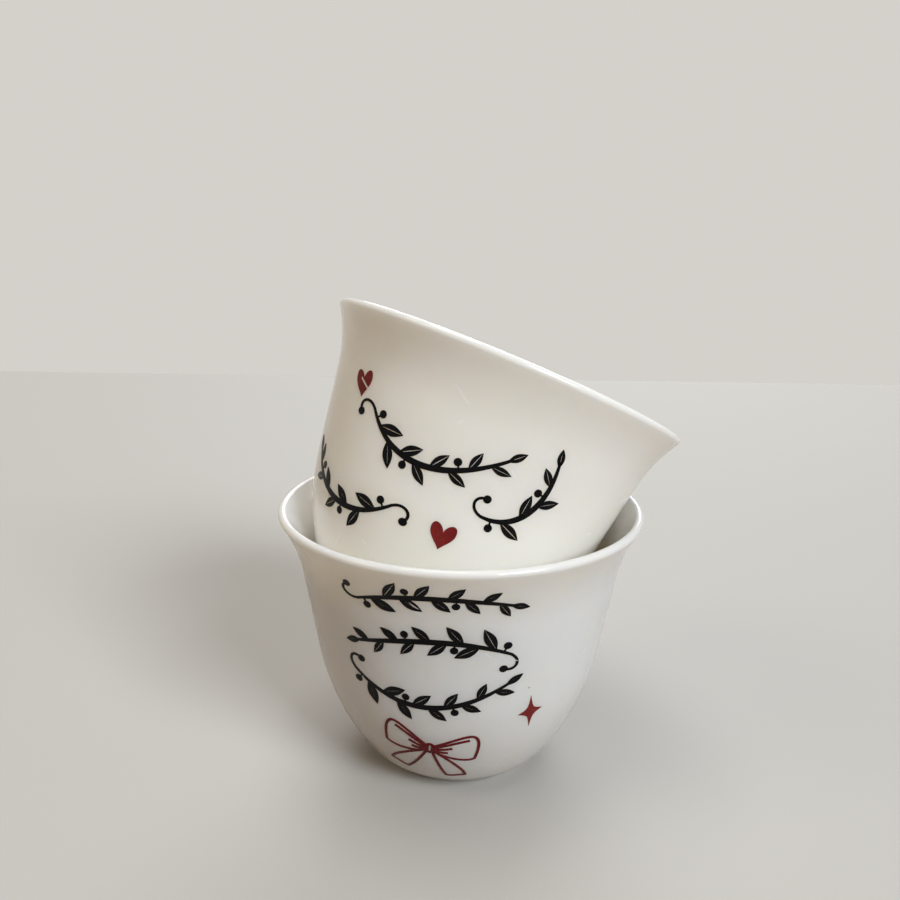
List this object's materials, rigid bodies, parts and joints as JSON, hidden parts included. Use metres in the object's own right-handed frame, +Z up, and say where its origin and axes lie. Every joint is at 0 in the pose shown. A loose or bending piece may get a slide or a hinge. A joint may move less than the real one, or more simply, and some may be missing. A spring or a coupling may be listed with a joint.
{
  "type": "stacked handleless coffee cups",
  "caption": "Two small handleless porcelain coffee cups with flared lips and foot rings, one leaning in the mouth of the other, with red and black fired prints.",
  "frame": {"origin": "centre of the lower cup's foot ring, level with the table that it stands on", "axes": "+Z up along the lower cup's axis; -Y is the printed front; the upper cup leans towards +X and +Y"},
  "size_m": [0.0708, 0.07, 0.0856],
  "materials": {
    "glazed_porcelain": "glossy clear glaze over cream-white porcelain",
    "black_enamel": "fired print, softly glossy",
    "red_enamel": "fired print, softly glossy",
    "dark_red_enamel": "fired print, softly glossy"
  },
  "bodies": {
    "lower": {"lower_cup": "glazed_porcelain", "lower_bow_print": "dark_red_enamel", "lower_sparkle_print": "red_enamel", "lower_vine_print": "black_enamel"},
    "upper": {"upper_cup": "glazed_porcelain", "upper_heart_print": "red_enamel", "upper_sprig_print": "black_enamel"}
  },
  "joints": [
    {"name": "upper_lift", "type": "slide", "parent": "lower", "child": "upper", "axis": [0, 0, 1], "range_m": [0, 0.06]}
  ]
}
